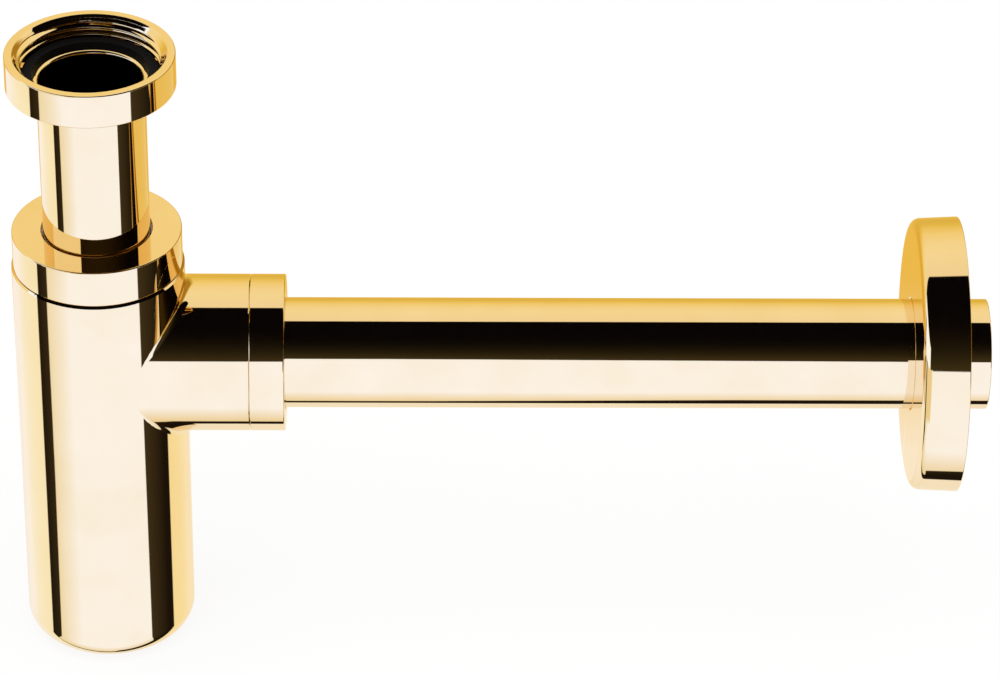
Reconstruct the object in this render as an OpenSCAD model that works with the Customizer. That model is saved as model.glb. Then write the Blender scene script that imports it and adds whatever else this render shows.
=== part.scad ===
// Basin bottle trap for a 32 mm waste: a round bottle with a side branch,
// a dip tube hung from the basin waste, and a wall pipe with a drawn rosette.
// Origin: centre of the inlet nut's rim. Z is up, X runs to the wall. Millimetres.

/* [Tubes] */
// Outside diameter of the inlet tube
inlet_tube_d = 30.6; // [29:0.2:32]
// Outside diameter of the wall pipe
pipe_d = 32; // [30:0.5:34]
// Wall of both tubes
tube_wall = 0.8; // [0.6:0.1:1.2]
// Inlet tube seen between the inlet nut and the gland nut
tube_show = 47.5; // [40:0.5:70]
// How far the inlet tube's lower end lies below the branch's axis
tube_dip = 65; // [55:1:70]

/* [Inlet nut] */
// Thread diameter at the root of the nut's female thread, G 1 1/4
inlet_thread_d = 41.91; // [41.91:0.01:42.2]
// Outside diameter of the inlet nut
inlet_nut_d = 48; // [47:0.5:54]
// Height of the inlet nut
inlet_nut_h = 10.2; // [10:0.1:14]
// Floor of the inlet nut, which the tube's flange rests on
inlet_nut_floor = 1.2; // [1:0.1:2]
// Width of the lead-in cone at the rim
inlet_lead_in = 0.75; // [0.4:0.05:1]
// Height of the plain relief below the thread
inlet_relief_h = 3; // [3:0.1:3.6]
// Depth of the relief behind the thread's root
inlet_relief = 0.5; // [0.4:0.1:0.9]
// Width of the flange that is turned out of the inlet tube
flange_lip = 3.9; // [3:0.1:4.1]
// Thickness of the flange
flange_t = 1; // [0.8:0.1:1.2]
// Width of the flat rubber washer's ring
washer_w = 2.8; // [1:0.1:3]
// Thickness of the rubber washer
washer_t = 2; // [1.5:0.1:2]

/* [Bottle] */
// Outside diameter of the bottle
bottle_d = 49.6; // [48:0.2:56]
// Wall of the bottle and of the branch
bottle_wall = 2; // [1.5:0.1:2.5]
// From the bottle's shoulder down to the branch's axis
axis_drop = 31.4; // [30:0.1:40]
// From the branch's axis down to the bottle's underside
bottle_below = 95; // [92:1:120]
// Radius of the bottle's lower edge
bottle_corner = 7; // [4:0.5:10]
// Thickness of the bottle's roof under the neck
roof_t = 3; // [2:0.5:5]
// Bevel at the shoulder's outer edge
shoulder_bevel = 0.5; // [0.3:0.1:1]

/* [Branch] */
// Outside diameter of the branch
branch_d = 45.5; // [45:0.1:46]
// From the bottle's axis to the branch's end face
branch_reach = 43.1; // [42:0.1:55]
// Length of the thick end of the branch, which guides the pipe
guide_len = 8; // [6:0.5:10]
// Radius of the fillet where the branch meets the bottle
saddle_fillet = 3; // [1.5:0.1:5]

/* [Glands] */
// Outside diameter of the gland nut on top of the bottle
gland_nut_d = 48.6; // [48:0.1:50.4]
// Height of the gland nut
gland_nut_h = 11.1; // [10.5:0.1:15]
// Diameter of the neck's male thread
gland_thread_d = 45; // [44.6:0.1:45.4]
// Length of the outlet nut
outlet_nut_h = 10.1; // [9:0.1:14]
// Diameter of the branch's male thread, G 1 1/4
outlet_thread_d = 41.9; // [41.6:0.1:42.1]
// Bevel at the start of both male threads
thread_lead = 0.6; // [0.4:0.1:0.8]
// Thickness of both nuts' end plates
nut_plate = 1.6; // [1.2:0.1:2.4]
// Bevel at the nuts' outer edges
nut_bevel = 0.3; // [0.2:0.05:0.5]
// Open joint between each nut and the face behind it
joint_gap = 0.2; // [0.1:0.05:0.4]
// Thickness of the slip ring under each nut's plate
slip_ring_t = 1; // [0.8:0.1:1.5]
// Width of the rubber seal's section
seal_width = 3; // [2.5:0.1:3.2]
// Height of the seal's straight side, below the neck's rim
seal_side = 2; // [1.5:0.1:2.5]
// How far the seal stands out of the neck before it is squeezed
seal_proud = 1; // [0.8:0.1:1.5]

/* [Wall pipe and rosette] */
// From the bottle's axis to the wall pipe's outer end
pipe_reach = 257; // [240:1:400]
// From the bottle's axis to the wall pipe's inner end
pipe_start = 33; // [30:0.5:36]
// Length of pipe that stands out past the rosette's back
pipe_past = 8.6; // [4:0.2:60]
// Diameter of the rosette at the wall
rosette_d = 80; // [70:1:100]
// Depth of the rosette
rosette_h = 13.4; // [10:0.2:20]
// How much narrower in radius the rosette is at its front
rosette_taper = 0.6; // [0.2:0.1:1.5]
// Radius of the rosette's front edge
rosette_edge = 2.6; // [1.2:0.1:4]
// Sheet thickness of the rosette
sheet_t = 1; // [0.8:0.1:1.1]
// Thickness of the rubber ring that holds the rosette on the pipe
o_ring_t = 1.8; // [1.5:0.1:2.2]
// Thickness of the lip that keeps the rubber ring in its collar
collar_lip = 0.8; // [0.6:0.1:1]

/* [Clearances] */
// Radial clearance of the two tubes in nuts and rings that they pass
pass_gap = 0.6; // [0.3:0.1:0.8]
// Radial clearance of the two tubes in their guide bores
guide_gap = 0.5; // [0.3:0.1:0.6]
// Radial clearance of the tubes in their rubber seals
seal_gap = 0.05; // [0.02:0.01:0.1]
// Radial clearance of the rubber seals in their pockets
pocket_gap = 0.1; // [0.05:0.05:0.15]
// Radial clearance of the tubes in their slip rings
ring_gap = 0.2; // [0.1:0.05:0.3]
// How much smaller in radius a slip ring is than the thread round it
ring_in_nut = 0.6; // [0.4:0.1:0.8]
// Radial clearance of the pipe in the rosette's face
rosette_gap = 0.15; // [0.1:0.05:0.4]
// Radial clearance of the pipe in the collar's lip
lip_gap = 0.4; // [0.3:0.05:0.6]
// Clearance of the rubber ring in its collar, on each side
o_ring_gap = 0.1; // [0.05:0.05:0.15]
// Radial clearance between a male thread and its nut
thread_gap = 0.15; // [0.1:0.05:0.2]

/* [Hidden] */
$fn = 96;

polished = "#D9A441";
deep_polished = "#C8923A";
black_rubber = "#1B1B1C";
white_nylon = "#E9E6DC";

inlet_tube_r = inlet_tube_d / 2;
pipe_r = pipe_d / 2;
bottle_r = bottle_d / 2;
branch_r = branch_d / 2;
chamber_r = bottle_r - bottle_wall;
flange_r = inlet_tube_r + flange_lip;
rosette_at = pipe_reach - pipe_past - rosette_h;

flange_under = -(inlet_nut_h - inlet_nut_floor);
gland_top = -(inlet_nut_h + tube_show);
shoulder = gland_top - gland_nut_h - joint_gap;
axis_z = shoulder - axis_drop;
bottle_foot = axis_z - bottle_below;
tube_foot = axis_z - tube_dip;

// A nut's inner depth is shared by the neck, the proud seal and the slip ring
gland_neck = gland_nut_h + joint_gap - nut_plate - slip_ring_t - seal_proud;
outlet_neck = outlet_nut_h + joint_gap - nut_plate - slip_ring_t - seal_proud;

// Radii of what fits round a tube: its guide bore, its rubber seal and the seal's pocket
function guide_r(tube_r) = tube_r + guide_gap;
function seal_r(tube_r) = tube_r + seal_gap + seal_width;
function pocket_r(tube_r) = seal_r(tube_r) + pocket_gap;

// Everything on the pipe's side is drawn standing up, then laid along X
module along_pipe(at) {
    translate([at, 0, axis_z]) rotate([0, 90, 0]) children();
}

module ring(outer, inner, height) {
    rotate_extrude() translate([inner, 0]) square([outer - inner, height]);
}

// Bore of a neck seen in section: guide, 45 degree seat and seal pocket
module neck_bore(tube_r, length, depth) {
    guide = guide_r(tube_r);
    pocket = pocket_r(tube_r);
    seat_top = length - seal_side;
    seat_foot = seat_top - (pocket - guide);
    rotate_extrude()
        polygon([[0, -depth], [guide, -depth], [guide, seat_foot], [pocket, seat_top],
                 [pocket, length + 1], [0, length + 1]]);
}

module neck(thread_d, length) {
    rotate_extrude()
        polygon([[0, -1], [thread_d / 2, -1], [thread_d / 2, length - thread_lead],
                 [thread_d / 2 - thread_lead, length], [0, length]]);
}

// Rubber cone seal as it sits in its pocket, measured from the neck's root
module cone_seal(tube_r, length) {
    outer = seal_r(tube_r);
    bore_r = tube_r + seal_gap;
    tip_r = guide_r(tube_r) + seal_gap;
    side_foot = length - seal_side - pocket_gap;
    tip_foot = side_foot - (outer - tip_r);
    rotate_extrude()
        polygon([[bore_r, length + seal_proud], [outer, length + seal_proud],
                 [outer, side_foot], [tip_r, tip_foot], [bore_r, tip_foot]]);
}

module slip_ring(tube_r, thread_d, length) {
    translate([0, 0, length + seal_proud])
        ring(thread_d / 2 - ring_in_nut, tube_r + ring_gap, slip_ring_t);
}

// Gland or outlet nut: end plate over a threaded skirt, drawn from the skirt's rim
module cap_nut(tube_r, outer_d, height, thread_d) {
    skirt_in = thread_d / 2 + thread_gap;
    outer = outer_d / 2;
    pass_r = tube_r + pass_gap;
    rotate_extrude()
        polygon([[skirt_in, 0], [outer - nut_bevel, 0], [outer, nut_bevel],
                 [outer, height - nut_bevel], [outer - nut_bevel, height],
                 [pass_r, height], [pass_r, height - nut_plate],
                 [skirt_in, height - nut_plate]]);
}

// The bottle's profile: a round lower corner, straight wall and bevelled shoulder
module bottle_profile(radius, corner, foot, top, bevel) {
    arc_steps = 12;
    lower = [for (i = [0:arc_steps]) let (a = -90 + 90 * i / arc_steps)
             [radius - corner + corner * cos(a), foot + corner + corner * sin(a)]];
    polygon(concat([[0, foot]], lower, [[radius, top - bevel], [radius - bevel, top], [0, top]]));
}

// Rolling ball fillet round the branch's root. A ball of the fillet's radius
// touches both cylinders, so its centre keeps that distance from both axes.
module saddle_ring() {
    turns = 72;
    arc_steps = 6;
    sunk = 0.06;
    root = 1;
    ball_bottle = bottle_r + saddle_fillet;
    ball_branch = branch_r + saddle_fillet;
    function centre(a) = let (y = ball_branch * sin(a))
        [sqrt(pow(ball_bottle, 2) - y * y), y, ball_branch * cos(a)];
    function on_bottle(a) = let (c = centre(a), k = (bottle_r - sunk) / ball_bottle)
        [c[0] * k, c[1] * k, c[2]];
    function on_branch(a) = let (c = centre(a), k = (branch_r - sunk) / ball_branch)
        [c[0], c[1] * k, c[2] * k];
    function inside(a) = let (y = (branch_r - root) * sin(a))
        [sqrt(pow(bottle_r - root, 2) - y * y), y, (branch_r - root) * cos(a)];
    function arc_point(a, s) =
        let (c = centre(a), u = on_bottle(a) - c, v = on_branch(a) - c,
             w = u * (1 - s) + v * s, reach = norm(u) * (1 - s) + norm(v) * s)
        c + w * reach / norm(w);
    section = arc_steps + 2;
    points = [for (i = [0:turns - 1]) let (a = 360 * i / turns)
              each concat([for (j = [0:arc_steps]) arc_point(a, j / arc_steps)], [inside(a)])];
    faces = [for (i = [0:turns - 1], j = [0:section - 1], half = [0, 1])
             let (p = i * section, q = ((i + 1) % turns) * section, k = (j + 1) % section)
             half == 0 ? [p + j, q + k, p + k] : [p + j, q + j, q + k]];
    translate([0, 0, axis_z]) polyhedron(points, faces);
}

module trap_body() {
    cavity_end = branch_reach - guide_len;
    color(polished) difference() {
        union() {
            rotate_extrude()
                bottle_profile(bottle_r, bottle_corner, bottle_foot, shoulder, shoulder_bevel);
            translate([0, 0, shoulder]) neck(gland_thread_d, gland_neck);
            along_pipe(0) cylinder(r = branch_r, h = branch_reach);
            along_pipe(branch_reach) neck(outlet_thread_d, outlet_neck);
            saddle_ring();
        }
        rotate_extrude()
            bottle_profile(chamber_r, bottle_corner - bottle_wall, bottle_foot + bottle_wall,
                           shoulder - roof_t, shoulder_bevel);
        translate([0, 0, shoulder]) neck_bore(inlet_tube_r, gland_neck, roof_t + 1);
        along_pipe(0) cylinder(r = branch_r - bottle_wall, h = cavity_end);
        along_pipe(branch_reach) neck_bore(pipe_r, outlet_neck, guide_len + 1);
    }
}

module gland_seal() {
    color(black_rubber) translate([0, 0, shoulder]) cone_seal(inlet_tube_r, gland_neck);
}

module outlet_seal() {
    color(black_rubber) along_pipe(branch_reach) cone_seal(pipe_r, outlet_neck);
}

module gland_slip_ring() {
    color(white_nylon) translate([0, 0, shoulder])
        slip_ring(inlet_tube_r, gland_thread_d, gland_neck);
}

module outlet_slip_ring() {
    color(white_nylon) along_pipe(branch_reach)
        slip_ring(pipe_r, outlet_thread_d, outlet_neck);
}

module gland_nut() {
    color(deep_polished) translate([0, 0, shoulder + joint_gap])
        cap_nut(inlet_tube_r, gland_nut_d, gland_nut_h, gland_thread_d);
}

module outlet_nut() {
    color(deep_polished) along_pipe(branch_reach + joint_gap)
        cap_nut(pipe_r, branch_d, outlet_nut_h, outlet_thread_d);
}

// Dip tube with a flange turned out of its upper end
module inlet_tube() {
    inner_r = inlet_tube_r - tube_wall;
    color(polished) rotate_extrude()
        polygon([[inner_r, tube_foot], [inlet_tube_r, tube_foot], [inlet_tube_r, flange_under],
                 [flange_r, flange_under], [flange_r, flange_under + flange_t],
                 [inner_r, flange_under + flange_t]]);
}

module inlet_washer() {
    color(black_rubber) translate([0, 0, flange_under + flange_t])
        ring(flange_r, flange_r - washer_w, washer_t);
}

module inlet_nut() {
    thread_r = inlet_thread_d / 2;
    relief_r = thread_r + inlet_relief;
    relief_top = flange_under + inlet_relief_h;
    hole_r = inlet_tube_r + pass_gap / 2;
    outer = inlet_nut_d / 2;
    color(deep_polished) rotate_extrude()
        polygon([[hole_r, -inlet_nut_h], [outer - nut_bevel, -inlet_nut_h],
                 [outer, nut_bevel - inlet_nut_h], [outer, -nut_bevel], [outer - nut_bevel, 0],
                 [thread_r + inlet_lead_in, 0], [thread_r, -inlet_lead_in],
                 [thread_r, relief_top], [relief_r, relief_top], [relief_r, flange_under],
                 [hole_r, flange_under]]);
}

module outlet_pipe() {
    color(polished) along_pipe(pipe_start)
        ring(pipe_r, pipe_r - tube_wall, pipe_reach - pipe_start);
}

// Drawn sheet rosette with a collar behind its face that holds the rubber ring
module wall_rosette() {
    arc_steps = 8;
    hole_r = pipe_r + rosette_gap;
    lip_r = pipe_r + lip_gap;
    groove_r = pipe_r + o_ring_t + o_ring_gap;
    groove_end = sheet_t + o_ring_t + 2 * o_ring_gap;
    collar_end = groove_end + collar_lip;
    collar_r = groove_r + sheet_t;
    back_r = rosette_d / 2;
    edge_r = back_r - rosette_taper;
    outer_arc = [for (i = [0:arc_steps]) let (a = 270 + 90 * i / arc_steps)
                 [edge_r - rosette_edge + rosette_edge * cos(a), rosette_edge + rosette_edge * sin(a)]];
    inner_edge = rosette_edge - sheet_t;
    inner_arc = [for (i = [arc_steps:-1:0]) let (a = 270 + 90 * i / arc_steps)
                 [edge_r - rosette_edge + inner_edge * cos(a), rosette_edge + inner_edge * sin(a)]];
    color(polished) along_pipe(rosette_at) rotate_extrude()
        polygon(concat([[hole_r, 0]], outer_arc,
                       [[back_r, rosette_h], [back_r - sheet_t, rosette_h]], inner_arc,
                       [[collar_r, sheet_t], [collar_r, collar_end], [lip_r, collar_end],
                        [lip_r, groove_end], [groove_r, groove_end], [groove_r, sheet_t],
                        [hole_r, sheet_t]]));
}

module rosette_o_ring() {
    color(black_rubber) along_pipe(rosette_at + sheet_t + o_ring_gap + o_ring_t / 2)
        rotate_extrude() translate([pipe_r + seal_gap + o_ring_t / 2, 0])
            circle(d = o_ring_t, $fn = 24);
}

trap_body();
gland_seal();
outlet_seal();
gland_slip_ring();
gland_nut();
inlet_tube();
inlet_washer();
inlet_nut();
outlet_slip_ring();
outlet_nut();
outlet_pipe();
wall_rosette();
rosette_o_ring();
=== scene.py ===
import math
import bmesh
import bpy
from mathutils import Matrix, Vector
from mathutils.kdtree import KDTree


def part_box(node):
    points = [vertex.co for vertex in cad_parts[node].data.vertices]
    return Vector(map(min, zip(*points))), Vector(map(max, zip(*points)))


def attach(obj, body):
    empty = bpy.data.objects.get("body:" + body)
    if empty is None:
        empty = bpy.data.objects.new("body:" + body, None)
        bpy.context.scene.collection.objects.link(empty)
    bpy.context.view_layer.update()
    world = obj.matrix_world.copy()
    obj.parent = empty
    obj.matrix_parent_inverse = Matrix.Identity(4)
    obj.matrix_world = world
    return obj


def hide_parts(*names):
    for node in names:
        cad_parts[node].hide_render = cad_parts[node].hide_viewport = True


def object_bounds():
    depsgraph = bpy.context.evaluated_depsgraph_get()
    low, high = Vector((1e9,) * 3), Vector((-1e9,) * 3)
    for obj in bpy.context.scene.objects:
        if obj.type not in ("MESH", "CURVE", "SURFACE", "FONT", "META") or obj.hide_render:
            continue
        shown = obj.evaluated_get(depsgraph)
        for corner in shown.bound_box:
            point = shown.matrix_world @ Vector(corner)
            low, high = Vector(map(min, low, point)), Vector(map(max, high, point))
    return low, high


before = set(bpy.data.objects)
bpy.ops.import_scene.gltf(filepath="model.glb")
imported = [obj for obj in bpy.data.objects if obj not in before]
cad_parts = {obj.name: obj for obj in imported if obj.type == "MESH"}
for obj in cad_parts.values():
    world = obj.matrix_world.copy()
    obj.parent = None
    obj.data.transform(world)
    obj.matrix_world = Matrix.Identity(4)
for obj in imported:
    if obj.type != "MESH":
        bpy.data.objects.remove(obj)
cad_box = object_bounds()


# Camera
# A long lens in front of the trap and a little above it, level with the gap
# between the bottle and the rosette, so that the pipe runs straight across.
PHOTO_WIDTH = 1000
FOCAL_PIXELS = 4814
CAMERA_AT = Vector((0.0924, -1.1604, 0.6815))
YAW, PITCH, ROLL = (math.radians(a) for a in (1.143, 33.794, 0.787))

forward = Vector((math.sin(YAW) * math.cos(PITCH), math.cos(YAW) * math.cos(PITCH), -math.sin(PITCH)))
level_right = Vector((math.cos(YAW), -math.sin(YAW), 0))
level_up = level_right.cross(forward)
right = level_right * math.cos(ROLL) + level_up * math.sin(ROLL)
up = level_up * math.cos(ROLL) - level_right * math.sin(ROLL)
camera_data = bpy.data.cameras.new("camera")
camera_data.sensor_width = 36
camera_data.lens = FOCAL_PIXELS / PHOTO_WIDTH * camera_data.sensor_width
camera_data.clip_end = 20
camera = bpy.data.objects.new("camera", camera_data)
camera.matrix_world = Matrix.Translation(CAMERA_AT) @ Matrix((right, up, -forward)).transposed().to_4x4()
bpy.context.scene.collection.objects.link(camera)
bpy.context.scene.camera = camera
bpy.context.scene.view_settings.view_transform = "Standard"


# Studio
# A white table and backdrop. In the mirror finish the table in front of the trap shows as
# cream, a dark strip of painted shadow, the trap's own shadow on the table, runs under it,
# dark gaps run out to both sides, the backdrop behind it shows as gold, and the unlit
# ceiling as black.
def linear(hex_colour):
    """Turns an sRGB hex colour into a linear RGBA tuple."""
    parts = [int(hex_colour[i:i + 2], 16) / 255 for i in (1, 3, 5)]
    return tuple(p / 12.92 if p <= 0.04045 else ((p + 0.055) / 1.055) ** 2.4 for p in parts) + (1.0,)


def add(tree, kind, inputs=None, **settings):
    """Adds a node with its settings; inputs holds values, or sockets to link from."""
    made = tree.nodes.new(kind)
    for name, value in settings.items():
        setattr(made, name, value)
    for name, value in (inputs or {}).items():
        if isinstance(value, bpy.types.NodeSocket):
            tree.links.new(value, made.inputs[name])
        else:
            made.inputs[name].default_value = value
    return made


def math_node(tree, operation, *values):
    return add(tree, "ShaderNodeMath", dict(enumerate(values)), operation=operation).outputs[0]


PLATING = "#EFCB82"
# Each colour is the one that shows in the gold plating
# The deeper table colour straight down is painted shade: the trap's own shadow on the table
CREAM, STRAW, STRAIGHT_DOWN = "#FCF0DE", "#EFD6A2", "#ECCB88"
OVERHEAD, OVER_FRONT = "#070403", "#382B13"
# Painted shadow: dark colours for the strip under the trap, its own shadow on the table; they also fill the dark
# gaps out to both sides
SHADOW_AND_GAP_BACK, SHADOW_AND_GAP_FRONT = "#1C1208", "#3C2D15"
LEFT_WALL = "#FFF6E4"
LOW_LEFT, LOW_RIGHT, UPPER_RIGHT, DUSK = "#F9E3AE", "#F7D68C", "#E9B850", "#A87418"
SIDE_GLOW = "#C99A45"
# Backdrop by its angle above or below the horizon
BACKDROP = [(-80, "#F4DAA4"), (-60, "#EFCE86"), (-38, "#EBC06A"), (-35, "#F2C878"), (-33.5, "#E49F2A"),
            (-5, "#DAA330"), (6, "#E2AF3A"), (15, "#ECBC52"), (25, "#F2C86C"), (40, "#F5D186"), (52, "#F5D48E"),
            (75, "#F2D090")]
LOW_EDGE = -34
EDGE_SOFTNESS = 0.012
ROOM_STRENGTH = 0.85


def light_for(shown):
    """The light that shows as this colour in the gold plating."""
    return tuple(s / g for s, g in zip(linear(shown)[:3], linear(PLATING)[:3])) + (1.0,)


world = bpy.data.worlds.new("studio")
bpy.context.scene.world = world
world.use_nodes = True
sky = world.node_tree
sky.nodes.clear()
ray = add(sky, "ShaderNodeSeparateXYZ", {0: add(sky, "ShaderNodeTexCoord").outputs["Generated"]})
ray_x, ray_y, ray_z = ray.outputs
steep = math_node(sky, "ABSOLUTE", ray_z)


def past(distance, softness=EDGE_SOFTNESS):
    """One where distance is positive, zero where it is negative, with a soft edge."""
    step = add(sky, "ShaderNodeMapRange", {"Value": distance, "From Min": -softness, "From Max": softness},
               interpolation_type="SMOOTHSTEP")
    return step.outputs["Result"]


def rising(value, low, high):
    """Zero at low, one at high, straight between them."""
    return add(sky, "ShaderNodeMapRange", {"Value": value, "From Min": low, "From Max": high}).outputs["Result"]


def turning(factor, first, second):
    """One colour turning into another as the factor rises from 0 to 1."""
    return add(sky, "ShaderNodeMix", {"Factor": factor, "A": first, "B": second}, data_type="RGBA").outputs["Result"]


# The table: cream, straw far out to the left and a little deeper straight below the trap, where painted shade stands
# for the trap's own shadow on the table
painted_shade_below = rising(math_node(sky, "DIVIDE", ray_y, steep), -0.65, 0)
far_left = rising(math_node(sky, "MULTIPLY", ray_x, -1), 0.5, 0.82)
table = turning(painted_shade_below, turning(far_left, light_for(CREAM), light_for(STRAW)), light_for(STRAIGHT_DOWN))
shallow_left = math_node(sky, "MULTIPLY", rising(ray_z, -0.49, -0.4), rising(ray_x, -0.2, -0.3))
table = turning(shallow_left, table, light_for(STRAIGHT_DOWN))
near_right = math_node(sky, "MULTIPLY_ADD", ray_x, -1.03, math_node(sky, "MULTIPLY", steep, 0.515))
right_edge = math_node(sky, "MAXIMUM", near_right, math_node(sky, "MULTIPLY", ray_x, -0.62))
near_left = math_node(sky, "MULTIPLY_ADD", ray_x, 1.04, math_node(sky, "MULTIPLY", steep, 0.905))
left_edge = math_node(sky, "MAXIMUM", near_left, math_node(sky, "MULTIPLY", ray_x, 0.36))
# The painted shadow strip under the trap begins a little further forward for rays to the right
below_edge = math_node(sky, "MULTIPLY", rising(ray_x, 0, 0.065), -0.13)
table_edge = math_node(sky, "MINIMUM", math_node(sky, "MINIMUM", right_edge, left_edge), below_edge)
on_table = past(math_node(sky, "SUBTRACT", table_edge, ray_y))

# The ceiling: black, browner low over the front, with a lit wall low on the left
back_angle = math_node(sky, "ARCTAN2", ray_z, ray_y)
over_front = math_node(sky, "POWER", rising(back_angle, math.radians(95), math.radians(158)), 4.0)
unlit = turning(over_front, light_for(OVERHEAD), light_for(OVER_FRONT))
to_right = math_node(sky, "MULTIPLY_ADD", math_node(sky, "MAXIMUM", ray_x, 0), -0.6, 0.36)
over_ceiling = past(math_node(sky, "MULTIPLY_ADD", ray_y, to_right, ray_z))
left_of_it = past(math_node(sky, "SUBTRACT", math_node(sky, "MULTIPLY", ray_y, 0.625), ray_x))
low_enough = past(math_node(sky, "SUBTRACT", 0.56, ray_z))
wall = turning(math_node(sky, "MULTIPLY", left_of_it, low_enough), unlit, light_for(LEFT_WALL))
# Below the horizon off the table: painted shadow straight under the trap, its own shadow on the table, and the dark
# gaps out to both sides
shadow_and_gap = turning(rising(ray_y, 0, -0.42), light_for(SHADOW_AND_GAP_BACK), light_for(SHADOW_AND_GAP_FRONT))
dark = turning(past(ray_z), shadow_and_gap, unlit)
glow_low = past(math_node(sky, "ADD", ray_z, 0.36), 0.04)
glow_high = past(math_node(sky, "SUBTRACT", -0.05, ray_z), 0.04)
side_glow = math_node(sky, "MULTIPLY", math_node(sky, "MULTIPLY", glow_low, glow_high), rising(ray_x, 0.5, 0.8))
dark = turning(side_glow, dark, light_for(SIDE_GLOW))
front = turning(over_ceiling, turning(on_table, dark, table), wall)

# The backdrop: a ramp over its height, paler on both sides below the horizon. A dark strip
# of painted shadow, the trap's own shadow on the table, lies between it and the table, and
# a dark gap between it and the ceiling.
ramp = add(sky, "ShaderNodeValToRGB", {"Fac": math_node(sky, "MULTIPLY_ADD", back_angle, 1 / math.pi, 0.5)})
for i, (angle, colour) in enumerate(BACKDROP):
    place = angle / 180 + 0.5
    stop = ramp.color_ramp.elements[i] if i < 2 else ramp.color_ramp.elements.new(place)
    stop.position = place
    stop.color = light_for(colour)
low = past(math_node(sky, "SUBTRACT", math.radians(LOW_EDGE), back_angle))
low_left = math_node(sky, "MULTIPLY", low, rising(ray_x, -0.15, -0.6))
low_right = math_node(sky, "MULTIPLY", low, rising(ray_x, 0.1, 0.5))
right_side = turning(past(math_node(sky, "ADD", ray_z, 0.545)), light_for(LOW_RIGHT), light_for(UPPER_RIGHT))
behind = turning(low_right, turning(low_left, ramp.outputs["Color"], light_for(LOW_LEFT)), right_side)
near_level = math_node(sky, "MULTIPLY", past(math_node(sky, "ADD", ray_z, 0.35), 0.1),
                       past(math_node(sky, "SUBTRACT", 0.35, ray_z), 0.1))
dusk = math_node(sky, "MULTIPLY", near_level, rising(ray_x, 0.15, 0.45))
behind = turning(dusk, behind, light_for(DUSK))
above = past(ray_z)
slope = math_node(sky, "MULTIPLY_ADD", above, 0.06, 0.15)
to_left = math_node(sky, "MULTIPLY", math_node(sky, "MINIMUM", ray_x, 0), 0.1)
below_splay = math_node(sky, "MULTIPLY_ADD", ray_x, 0.05, to_left)
above_splay = math_node(sky, "MULTIPLY", math_node(sky, "ABSOLUTE", ray_x), 0.09)
splay = add(sky, "ShaderNodeMix", {"Factor": above, "A": below_splay, "B": above_splay}).outputs["Result"]
shadow_and_gap_end = math_node(sky, "MULTIPLY_ADD", steep, slope, splay)
is_behind = past(math_node(sky, "SUBTRACT", ray_y, shadow_and_gap_end))
mirrored = add(sky, "ShaderNodeBackground", {"Color": turning(is_behind, front, behind), "Strength": 1.0})
room = add(sky, "ShaderNodeBackground", {"Color": (1, 1, 1, 1), "Strength": ROOM_STRENGTH})
white = add(sky, "ShaderNodeBackground", {"Color": (1, 1, 1, 1), "Strength": 1.0})
light_path = add(sky, "ShaderNodeLightPath")


def mix(tree, factor, first, second):
    return add(tree, "ShaderNodeMixShader", {0: factor, 1: first, 2: second}).outputs[0]


lit = mix(sky, light_path.outputs["Is Glossy Ray"], room.outputs[0], mirrored.outputs[0])
seen = mix(sky, light_path.outputs["Is Camera Ray"], lit, white.outputs[0])
add(sky, "ShaderNodeOutputWorld", {"Surface": seen})

FLOOR_SIZE = 12.0
FLOOR_SHADE = 0.12
floor_mesh = bmesh.new()
bmesh.ops.create_grid(floor_mesh, x_segments=1, y_segments=1, size=FLOOR_SIZE / 2)
bmesh.ops.translate(floor_mesh, verts=floor_mesh.verts, vec=(0, 0, cad_box[0][2] - 0.0004))
floor_data = bpy.data.meshes.new("floor")
floor_mesh.to_mesh(floor_data)
floor_mesh.free()
floor = bpy.data.objects.new("floor", floor_data)
bpy.context.scene.collection.objects.link(floor)
floor.visible_glossy = False
paper = bpy.data.materials.new("white_paper")
paper.use_nodes = True
paper.node_tree.nodes.clear()
glow = add(paper.node_tree, "ShaderNodeEmission", {"Color": (1, 1, 1, 1), "Strength": 1.0})
matt = add(paper.node_tree, "ShaderNodeBsdfDiffuse", {"Color": (0.9, 0.9, 0.9, 1)})
path = add(paper.node_tree, "ShaderNodeLightPath")
glowing = math_node(paper.node_tree, "MULTIPLY", path.outputs["Is Camera Ray"], 1 - FLOOR_SHADE)
add(paper.node_tree, "ShaderNodeOutputMaterial",
    {"Surface": mix(paper.node_tree, glowing, matt.outputs[0], glow.outputs[0])})
floor_data.materials.append(paper)

lamp_data = bpy.data.lights.new("softbox", "AREA")
lamp_data.shape = "RECTANGLE"
lamp_data.size = 1.6
lamp_data.size_y = 1.2
lamp_data.energy = 12
lamp = bpy.data.objects.new("softbox", lamp_data)
lamp.location = (0.1, -0.5, 1.3)
lamp.rotation_euler = (math.radians(20), 0, 0)
lamp.visible_glossy = False
bpy.context.scene.collection.objects.link(lamp)


# Wall pipe
# A thin brass tube, polished and then plated gold. The plating is a mirror
# with the faint waviness that a polishing wheel leaves.
MM = 0.001
TURN_STEPS = 192


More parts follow.
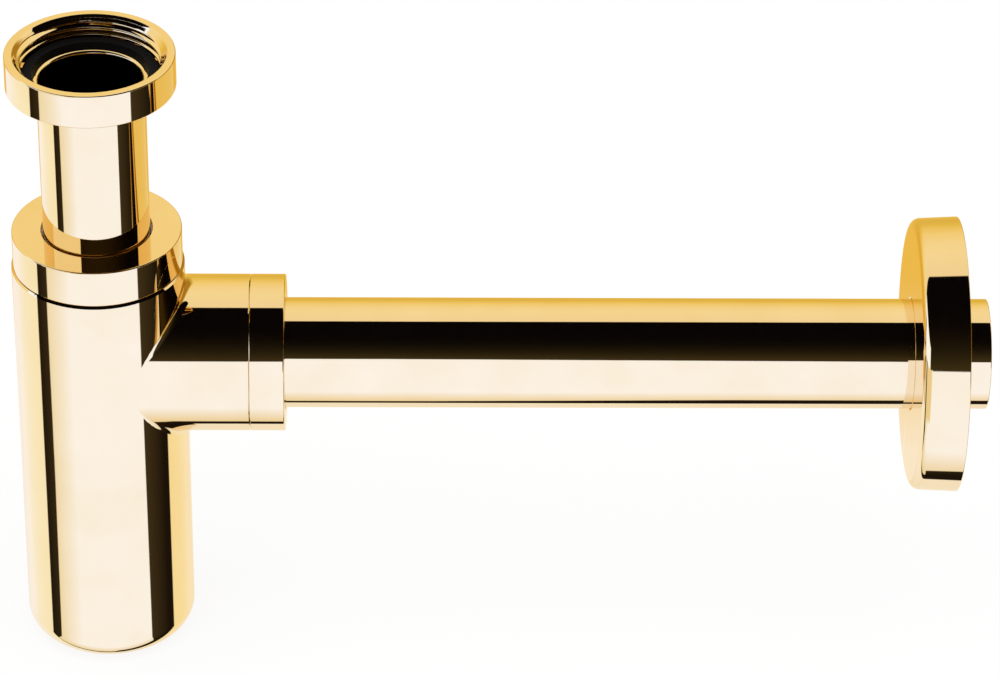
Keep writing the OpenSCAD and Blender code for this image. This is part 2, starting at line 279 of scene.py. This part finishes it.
def plated_gold(name, wave_mm=9.0, base="#F2CF89", deeper="#EBC67A"):
    """Gold plating on polished brass: a near mirror, slightly uneven in colour and gloss."""
    made = bpy.data.materials.new(name)
    made.use_nodes = True
    tree = made.node_tree
    tree.nodes.clear()
    place = add(tree, "ShaderNodeTexCoord").outputs["Object"]
    waves = add(tree, "ShaderNodeTexNoise", {"Vector": place, "Scale": 1 / (wave_mm * MM),
                                             "Detail": 2.0, "Roughness": 0.4})
    haze = add(tree, "ShaderNodeTexNoise", {"Vector": place, "Scale": 1 / (2.5 * MM), "Detail": 4.0})
    tint = add(tree, "ShaderNodeMix", {"Factor": waves.outputs["Fac"], "A": linear(base),
                                       "B": linear(deeper)}, data_type="RGBA")
    gloss = add(tree, "ShaderNodeMapRange", {"Value": haze.outputs["Fac"], "From Min": 0.3, "From Max": 0.75,
                                             "To Min": 0.012, "To Max": 0.045})
    bump = add(tree, "ShaderNodeBump", {"Height": waves.outputs["Fac"], "Strength": 0.04,
                                        "Distance": 0.3 * MM})
    metal = add(tree, "ShaderNodeBsdfPrincipled", {"Base Color": tint.outputs["Result"], "Metallic": 1.0,
                                                   "Roughness": gloss.outputs["Result"],
                                                   "Normal": bump.outputs["Normal"]})
    add(tree, "ShaderNodeOutputMaterial", {"Surface": metal.outputs[0]})
    return made


def rounded(corners, arc_steps=4):
    """Profile points from (radius, height, fillet) corners in mm; each fillet is an arc."""
    points = []
    for i, (r, h, fillet) in enumerate(corners):
        here = Vector((r, h))
        if fillet == 0:
            points.append(here)
            continue
        before = (Vector(corners[i - 1][:2]) - here).normalized()
        after = (Vector(corners[(i + 1) % len(corners)][:2]) - here).normalized()
        half = before.angle(after) / 2
        centre = here + (before + after).normalized() * (fillet / math.sin(half))
        start = here + before * (fillet / math.tan(half)) - centre
        end = here + after * (fillet / math.tan(half)) - centre
        sweep = start.angle(end)
        for step in range(arc_steps + 1):
            t = step / arc_steps
            points.append(centre + (start * math.sin((1 - t) * sweep) + end * math.sin(t * sweep)) / math.sin(sweep))
    return points


def turned(name, corners, along="Z", at=(0, 0, 0), arc_steps=4):
    """A turned ring: the profile spun round its axis, with crisp edges between its faces."""
    made = bmesh.new()
    profile = [made.verts.new((p.x * MM, 0, p.y * MM)) for p in rounded(corners, arc_steps)]
    edges = [made.edges.new((profile[i - 1], profile[i])) for i in range(len(profile))]
    bmesh.ops.spin(made, geom=profile + edges, cent=(0, 0, 0), axis=(0, 0, 1), dvec=(0, 0, 0),
                   angle=2 * math.pi, steps=TURN_STEPS, use_merge=True)
    bmesh.ops.remove_doubles(made, verts=made.verts, dist=1e-7)
    bmesh.ops.recalc_face_normals(made, faces=made.faces)
    for face in made.faces:
        face.smooth = True
    for edge in made.edges:
        low, high = (v.co for v in edge.verts)
        ring_edge = abs(low.z - high.z) < 1e-7 and abs(low.xy.length - high.xy.length) < 1e-7
        if ring_edge and edge.is_manifold:
            bend = edge.calc_face_angle(0)
            longest = max(f.calc_area() for f in edge.link_faces) / edge.calc_length()
            edge.smooth = not (bend > math.radians(28) or (bend > math.radians(1) and longest > 1.2 * MM))
    if along == "X":
        bmesh.ops.rotate(made, verts=made.verts, cent=(0, 0, 0), matrix=Matrix.Rotation(math.pi / 2, 3, "Y"))
    bmesh.ops.translate(made, verts=made.verts, vec=at)
    data = bpy.data.meshes.new(name)
    made.to_mesh(data)
    made.free()
    piece = bpy.data.objects.new(name, data)
    bpy.context.scene.collection.objects.link(piece)
    return piece


def fitted(piece, material, body, node):
    """Gives a piece its finish and puts it in the place of its node."""
    piece.data.materials.append(material)
    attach(piece, body)
    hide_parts(node)


def span(node, axis):
    """Lowest and highest place of a node along an axis, in mm."""
    low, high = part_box(node)
    return low[axis] / MM, high[axis] / MM


pipe_from, pipe_to = span("outlet_pipe", 0)
axis_low, axis_high = span("outlet_pipe", 2)
pipe_axis = (axis_low + axis_high) / 2
pipe_r = (axis_high - axis_low) / 2
TUBE_WALL = 0.8
pipe_gold = plated_gold("gold_plated_pipe", wave_mm=14.0)
pipe = turned("wall_pipe", [(pipe_r, pipe_from, 0.2), (pipe_r, pipe_to, 0.25),
                            (pipe_r - TUBE_WALL, pipe_to, 0.2), (pipe_r - TUBE_WALL, pipe_from, 0.2)],
              "X", (0, 0, pipe_axis * MM))
fitted(pipe, pipe_gold, "pipe", "outlet_pipe")


# Wall rosette
# A cup drawn from one sheet of brass, with a soft front edge and a plain rim
# against the wall. Its face has a plain hole that the pipe slides through.
rosette_from, rosette_to = span("wall_rosette", 0)
rosette_r = (span("wall_rosette", 1)[1] - span("wall_rosette", 1)[0]) / 2
TAPER, SHEET, FRONT_EDGE = 0.6, 1.0, 2.6
FACE_HOLE, COLLAR_IN, COLLAR_LIP = 0.15, 1.9, 0.4
GROOVE = 2.0
LIP = 0.8
front_r = rosette_r - TAPER
collar_to = rosette_from + SHEET + GROOVE + LIP
rosette_gold = plated_gold("gold_plated_rosette", wave_mm=18.0)
rosette = turned("rosette", [
    (pipe_r + FACE_HOLE, rosette_from, 0.45), (front_r, rosette_from, FRONT_EDGE), (rosette_r, rosette_to, 0.25),
    (rosette_r - SHEET, rosette_to, 0.2), (front_r - SHEET, rosette_from + SHEET, FRONT_EDGE - SHEET),
    (pipe_r + COLLAR_IN + SHEET, rosette_from + SHEET, 0.3), (pipe_r + COLLAR_IN + SHEET, collar_to, 0.2),
    (pipe_r + COLLAR_LIP, collar_to, 0.1), (pipe_r + COLLAR_LIP, collar_to - LIP, 0),
    (pipe_r + COLLAR_IN, collar_to - LIP, 0), (pipe_r + COLLAR_IN, rosette_from + SHEET, 0),
    (pipe_r + FACE_HOLE, rosette_from + SHEET, 0)], "X", (0, 0, pipe_axis * MM), arc_steps=8)
fitted(rosette, rosette_gold, "rosette", "wall_rosette")


# Outlet nut
# A turned cap nut, flush with the branch, that squeezes the pipe's seal. It
# is only hand tight, so a fine dark joint shows between it and the branch.
nut_from, nut_to = span("outlet_nut", 0)
outlet_nut_r = (span("outlet_nut", 1)[1] - span("outlet_nut", 1)[0]) / 2
PLATE = 1.6
PASS_GAP = 0.6
OUTLET_SKIRT_IN = 21.1
nut_gold = plated_gold("gold_plated_nut", wave_mm=12.0)
outlet_nut = turned("outlet_cap_nut", [
    (OUTLET_SKIRT_IN, nut_from, 0.15), (outlet_nut_r, nut_from, 0.3), (outlet_nut_r, nut_to, 0.35),
    (pipe_r + PASS_GAP, nut_to, 0.2), (pipe_r + PASS_GAP, nut_to - PLATE, 0.1),
    (OUTLET_SKIRT_IN, nut_to - PLATE, 0.2)], "X", (0, 0, pipe_axis * MM))
fitted(outlet_nut, nut_gold, "outlet_nut", "outlet_nut")


# Gland nut
# A turned cap nut on top of the bottle. Its flat top mirrors the tube that
# stands in it, and the tube passes through with a narrow dark gap round it.
cap_from, cap_to = span("gland_nut", 2)
cap_r = (span("gland_nut", 0)[1] - span("gland_nut", 0)[0]) / 2
GLAND_SKIRT_IN = 22.65
INLET_TUBE_R = 15.3
gland_nut = turned("gland_cap_nut", [
    (GLAND_SKIRT_IN, cap_from, 0.15), (cap_r, cap_from, 0.3), (cap_r, cap_to, 0.35),
    (INLET_TUBE_R + PASS_GAP, cap_to, 0.2), (INLET_TUBE_R + PASS_GAP, cap_to - PLATE, 0.1),
    (GLAND_SKIRT_IN, cap_to - PLATE, 0.2)])
fitted(gland_nut, nut_gold, "gland_nut", "gland_nut")


# Inlet tube
# The same thin tube as the wall pipe, with a flange turned out of its upper
# end. It hangs in the inlet nut and dips into the bottle's water.
tube_from, tube_to = span("inlet_tube", 2)
flange_r = (span("inlet_tube", 0)[1] - span("inlet_tube", 0)[0]) / 2
FLANGE, FLARE = 1.0, 0.9
tube_gold = plated_gold("gold_plated_tube", wave_mm=14.0)
inlet_tube = turned("dip_tube", [
    (INLET_TUBE_R - TUBE_WALL, tube_from, 0.2), (INLET_TUBE_R, tube_from, 0.2),
    (INLET_TUBE_R, tube_to - FLANGE, 0), (flange_r, tube_to - FLANGE, 0.2), (flange_r, tube_to, 0.2),
    (INLET_TUBE_R - TUBE_WALL, tube_to, FLARE)])
fitted(inlet_tube, tube_gold, "inlet", "inlet_tube")


# Inlet nut
# A turned round nut with an open G 1 1/4 female thread, which screws up onto
# the basin waste. The thread is cut as one ridge of 2.309 mm pitch.
inlet_low, inlet_high = span("inlet_nut", 2)
inlet_r = (span("inlet_nut", 0)[1] - span("inlet_nut", 0)[0]) / 2
THREAD_ROOT, THREAD_CREST, PITCH_MM = 20.955, 19.55, 2.309
LEAD_IN, NUT_FLOOR, NUT_GAP, RELIEF, RELIEF_HIGH = 0.75, 1.2, 0.3, 0.5, 3.0
floor_at = inlet_low + NUT_FLOOR
inlet_nut = turned("inlet_round_nut", [
    (INLET_TUBE_R + NUT_GAP, inlet_low, 0.15), (inlet_r, inlet_low, 0.35), (inlet_r, inlet_high, 0.35),
    (THREAD_ROOT + LEAD_IN, inlet_high, 0.12), (THREAD_ROOT, inlet_high - LEAD_IN, 0.1),
    (THREAD_ROOT, floor_at + RELIEF_HIGH, 0), (THREAD_ROOT + RELIEF, floor_at + RELIEF_HIGH, 0),
    (THREAD_ROOT + RELIEF, floor_at, 0), (INLET_TUBE_R + NUT_GAP, floor_at, 0)])
fitted(inlet_nut, nut_gold, "inlet_nut", "inlet_nut")


def thread_ridge(name, root, crest, pitch, low, high, cone_at_root, start=0, along="Z", at=(0, 0, 0)):
    """A screw thread's helical ridge in mm, cut off flat at low and high and by a 45 degree lead-in cone."""
    side = 1 if crest > root else -1
    section_steps, sunk = 18, 0.5
    first_at = low - 0.51 * pitch
    turns = (high - first_at) / pitch + 0.51
    steps = int(turns * 96)
    made = bmesh.new()
    section = [(-sunk, -0.49 * pitch)]
    for i in range(section_steps + 1):
        up_by = (i / section_steps - 0.5) * 0.98 * pitch
        section.append((abs(crest - root) * (1 + math.cos(2 * math.pi * up_by / pitch)) / 2, up_by))
    section.append((-sunk, 0.49 * pitch))
    ring = [made.verts.new(((root + side * h) * MM, 0, (first_at + up_by) * MM)) for h, up_by in section]
    first = made.faces.new(ring)
    bmesh.ops.spin(made, geom=[first], cent=(0, 0, 0), axis=(0, 0, 1), angle=2 * math.pi * turns, steps=steps,
                   dvec=(0, 0, turns * pitch * MM / steps))
    for vert in made.verts:
        radius = vert.co.xy.length
        stands = min((radius / MM - root) * side, cone_at_root - vert.co.z / MM)
        vert.co.xy *= (root + side * max(stands, -sunk)) * MM / radius
    for cut, keep in ((low, 1), (high, -1)):
        bmesh.ops.bisect_plane(made, geom=made.verts[:] + made.edges[:] + made.faces[:], dist=1e-8,
                               plane_co=(0, 0, cut * MM), plane_no=(0, 0, keep), clear_inner=True)
    bmesh.ops.holes_fill(made, edges=[e for e in made.edges if e.is_boundary])
    bmesh.ops.triangulate(made, faces=[f for f in made.faces if len(f.verts) > 4])
    bmesh.ops.recalc_face_normals(made, faces=made.faces)
    for face in made.faces:
        face.smooth = True
    for edge in made.edges:
        edge.smooth = edge.calc_face_angle(0) < math.radians(50)
    bmesh.ops.rotate(made, verts=made.verts, cent=(0, 0, 0), matrix=Matrix.Rotation(math.radians(start), 3, "Z"))
    if along == "X":
        bmesh.ops.rotate(made, verts=made.verts, cent=(0, 0, 0), matrix=Matrix.Rotation(math.pi / 2, 3, "Y"))
    bmesh.ops.translate(made, verts=made.verts, vec=at)
    data = bpy.data.meshes.new(name)
    made.to_mesh(data)
    made.free()
    piece = bpy.data.objects.new(name, data)
    bpy.context.scene.collection.objects.link(piece)
    return piece


THREAD_START = 193
inlet_thread = thread_ridge("inlet_thread", THREAD_ROOT, THREAD_CREST, PITCH_MM, floor_at + RELIEF_HIGH + 0.01,
                            inlet_high - LEAD_IN + 0.42, inlet_high - LEAD_IN - 0.02, THREAD_START)
inlet_thread.data.materials.append(nut_gold)
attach(inlet_thread, "inlet_nut")


# Bottle and branch
# One brass body: the branch is brazed to the bottle with a small fillet and
# polished over, so no joint shows. Its neck and branch end carry threads.
body_low, body_high = span("trap_body", 2)
shell = bmesh.new()
shell.from_mesh(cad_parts["trap_body"].data)
bmesh.ops.remove_doubles(shell, verts=shell.verts, dist=1e-7)
bottle_r = -span("trap_body", 0)[0]
branch_r = outlet_nut_r
FILLET = 3.0
CORNER = 7.0
axis_z = pipe_axis * MM


NECK_R, NECK_FOOT, NECK_RIM, NECK_ROOT, NECK_PITCH = 22.5, -69.0, -61.3, 21.58, 1.5
SPIGOT_R, SPIGOT_FOOT, SPIGOT_RIM, SPIGOT_ROOT = 20.95, 43.1, 49.8, 19.85
THREAD_LEAD, UNDERCUT = 0.6, 0.9

# Both threaded ends come down to their thread's root, and the ridges stand on that
for vert in shell.verts:
    from_z, from_x = vert.co.xy.length, math.hypot(vert.co.y, vert.co.z - axis_z)
    if vert.co.z > (NECK_FOOT - 0.01) * MM and NECK_ROOT * MM < from_z < (NECK_R + 0.05) * MM:
        vert.co.xy *= NECK_ROOT * MM / from_z
    if vert.co.x > (SPIGOT_FOOT - 0.01) * MM and SPIGOT_ROOT * MM < from_x < (SPIGOT_R + 0.05) * MM:
        vert.co.yz = Vector((0, axis_z)) + (vert.co.yz - Vector((0, axis_z))) * SPIGOT_ROOT * MM / from_x
shell.normal_update()

# The path of the ball whose underside is the fillet's surface
ball_bottle, ball_branch = (bottle_r + FILLET) * MM, (branch_r + FILLET) * MM
PATH_STEPS = 7200
ball_path = KDTree(PATH_STEPS)
for step in range(PATH_STEPS):
    way = 2 * math.pi * step / PATH_STEPS
    aside = ball_branch * math.sin(way)
    ball_path.insert((math.sqrt(ball_bottle ** 2 - aside ** 2), aside, axis_z + ball_branch * math.cos(way)), step)
ball_path.balance()


def on_fillet(face):
    return all(abs(ball_path.find(v.co)[2] - FILLET * MM) < 0.08 * MM for v in face.verts)


def body_normal(face, corner):
    """The true surface's normal at a corner, from the kind of surface its face lies on."""
    n = face.normal
    middle = face.calc_center_median()
    p = corner.vert.co
    round_z = Vector((middle.x, middle.y, 0)).normalized()
    round_x = Vector((0, middle.y, middle.z - axis_z)).normalized()
    out_z = Vector((p.x, p.y, 0))
    out_x = Vector((0, p.y, p.z - axis_z))
    low_corner = out_z.length - (bottle_r - CORNER) * MM
    if p.z < (body_low + CORNER) * MM + 1e-6 and low_corner > 1e-6 and n.dot(round_z) > 0.01:
        radial = out_z.normalized()
        return (radial * low_corner + Vector((0, 0, p.z - (body_low + CORNER) * MM))).normalized()
    if abs(n.z) > 0.999 or abs(n.x) > 0.999:
        return n.copy()
    if face in fillet_faces:
        return (ball_path.find(p)[0] - p).normalized()
    if abs(n.cross(round_z).z) < 0.02 and out_z.length > 1e-6 and middle.x < (bottle_r + 0.01) * MM:
        return (out_z.normalized() * n.dot(round_z) + Vector((0, 0, n.z))).normalized()
    if abs(n.cross(round_x).x) < 0.02 and out_x.length > 1e-6:
        return (out_x.normalized() * n.dot(round_x) + Vector((n.x, 0, 0))).normalized()
    return n.copy()


fillet_faces = {face for face in shell.faces if on_fillet(face)}
shell.faces.ensure_lookup_table()
normals = [body_normal(face, loop) for face in shell.faces for loop in face.loops]
for face in shell.faces:
    face.smooth = True
body_data = bpy.data.meshes.new("bottle_and_branch")
shell.to_mesh(body_data)
shell.free()
body_data.normals_split_custom_set(normals)
bottle = bpy.data.objects.new("bottle_and_branch", body_data)
bpy.context.scene.collection.objects.link(bottle)
body_gold = plated_gold("gold_plated_bottle", wave_mm=16.0)
fitted(bottle, body_gold, "trap", "trap_body")

neck_thread = thread_ridge("neck_thread", NECK_ROOT, NECK_R, NECK_PITCH, NECK_FOOT + UNDERCUT, NECK_RIM - 0.01,
                           NECK_RIM - THREAD_LEAD + NECK_R - NECK_ROOT)
branch_thread = thread_ridge("branch_thread", SPIGOT_ROOT, SPIGOT_R, PITCH_MM, SPIGOT_FOOT + UNDERCUT,
                             SPIGOT_RIM - 0.01, SPIGOT_RIM - THREAD_LEAD + SPIGOT_R - SPIGOT_ROOT,
                             along="X", at=(0, 0, pipe_axis * MM))
for thread in (neck_thread, branch_thread):
    thread.data.materials.append(body_gold)
    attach(thread, "trap")


# Rubber seals and washer
# Matt black moulded rubber: two cone seals in the glands, the flat washer on
# the tube's flange and the ring that holds the rosette.
rubber = bpy.data.materials.new("moulded_rubber")
rubber.use_nodes = True
rubber_tree = rubber.node_tree
rubber_tree.nodes.clear()
grain = add(rubber_tree, "ShaderNodeTexNoise",
            {"Vector": add(rubber_tree, "ShaderNodeTexCoord").outputs["Object"], "Scale": 1 / (0.4 * MM),
             "Detail": 3.0})
soot = add(rubber_tree, "ShaderNodeMix", {"Factor": grain.outputs["Fac"], "A": linear("#0A0908"),
                                          "B": linear("#110F0E")}, data_type="RGBA")
dull = add(rubber_tree, "ShaderNodeMapRange", {"Value": grain.outputs["Fac"], "To Min": 0.5, "To Max": 0.75})
pores = add(rubber_tree, "ShaderNodeBump", {"Height": grain.outputs["Fac"], "Strength": 0.25,
                                            "Distance": 0.05 * MM})
rubber_face = add(rubber_tree, "ShaderNodeBsdfPrincipled",
                  {"Base Color": soot.outputs["Result"], "Roughness": dull.outputs["Result"],
                   "Specular IOR Level": 0.1,
                   "Normal": pores.outputs["Normal"]})
add(rubber_tree, "ShaderNodeOutputMaterial", {"Surface": rubber_face.outputs[0]})
for name in ("gland_seal", "outlet_seal", "inlet_washer", "rosette_o_ring"):
    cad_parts[name].material_slots[0].material = rubber


# Slip rings
# Thin white nylon rings that let each nut turn without dragging its seal.
# They are punched from sheet, so they have a plain matt face.
nylon = bpy.data.materials.new("punched_nylon")
nylon.use_nodes = True
nylon_tree = nylon.node_tree
nylon_tree.nodes.clear()
cloud = add(nylon_tree, "ShaderNodeTexNoise",
            {"Vector": add(nylon_tree, "ShaderNodeTexCoord").outputs["Object"], "Scale": 1 / (3 * MM)})
milk = add(nylon_tree, "ShaderNodeMix", {"Factor": cloud.outputs["Fac"], "A": linear("#E6E2D6"),
                                         "B": linear("#F0EDE4")}, data_type="RGBA")
nylon_face = add(nylon_tree, "ShaderNodeBsdfPrincipled", {"Base Color": milk.outputs["Result"],
                                                          "Roughness": 0.45})
add(nylon_tree, "ShaderNodeOutputMaterial", {"Surface": nylon_face.outputs[0]})
for name in ("gland_slip_ring", "outlet_slip_ring"):
    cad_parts[name].material_slots[0].material = nylon
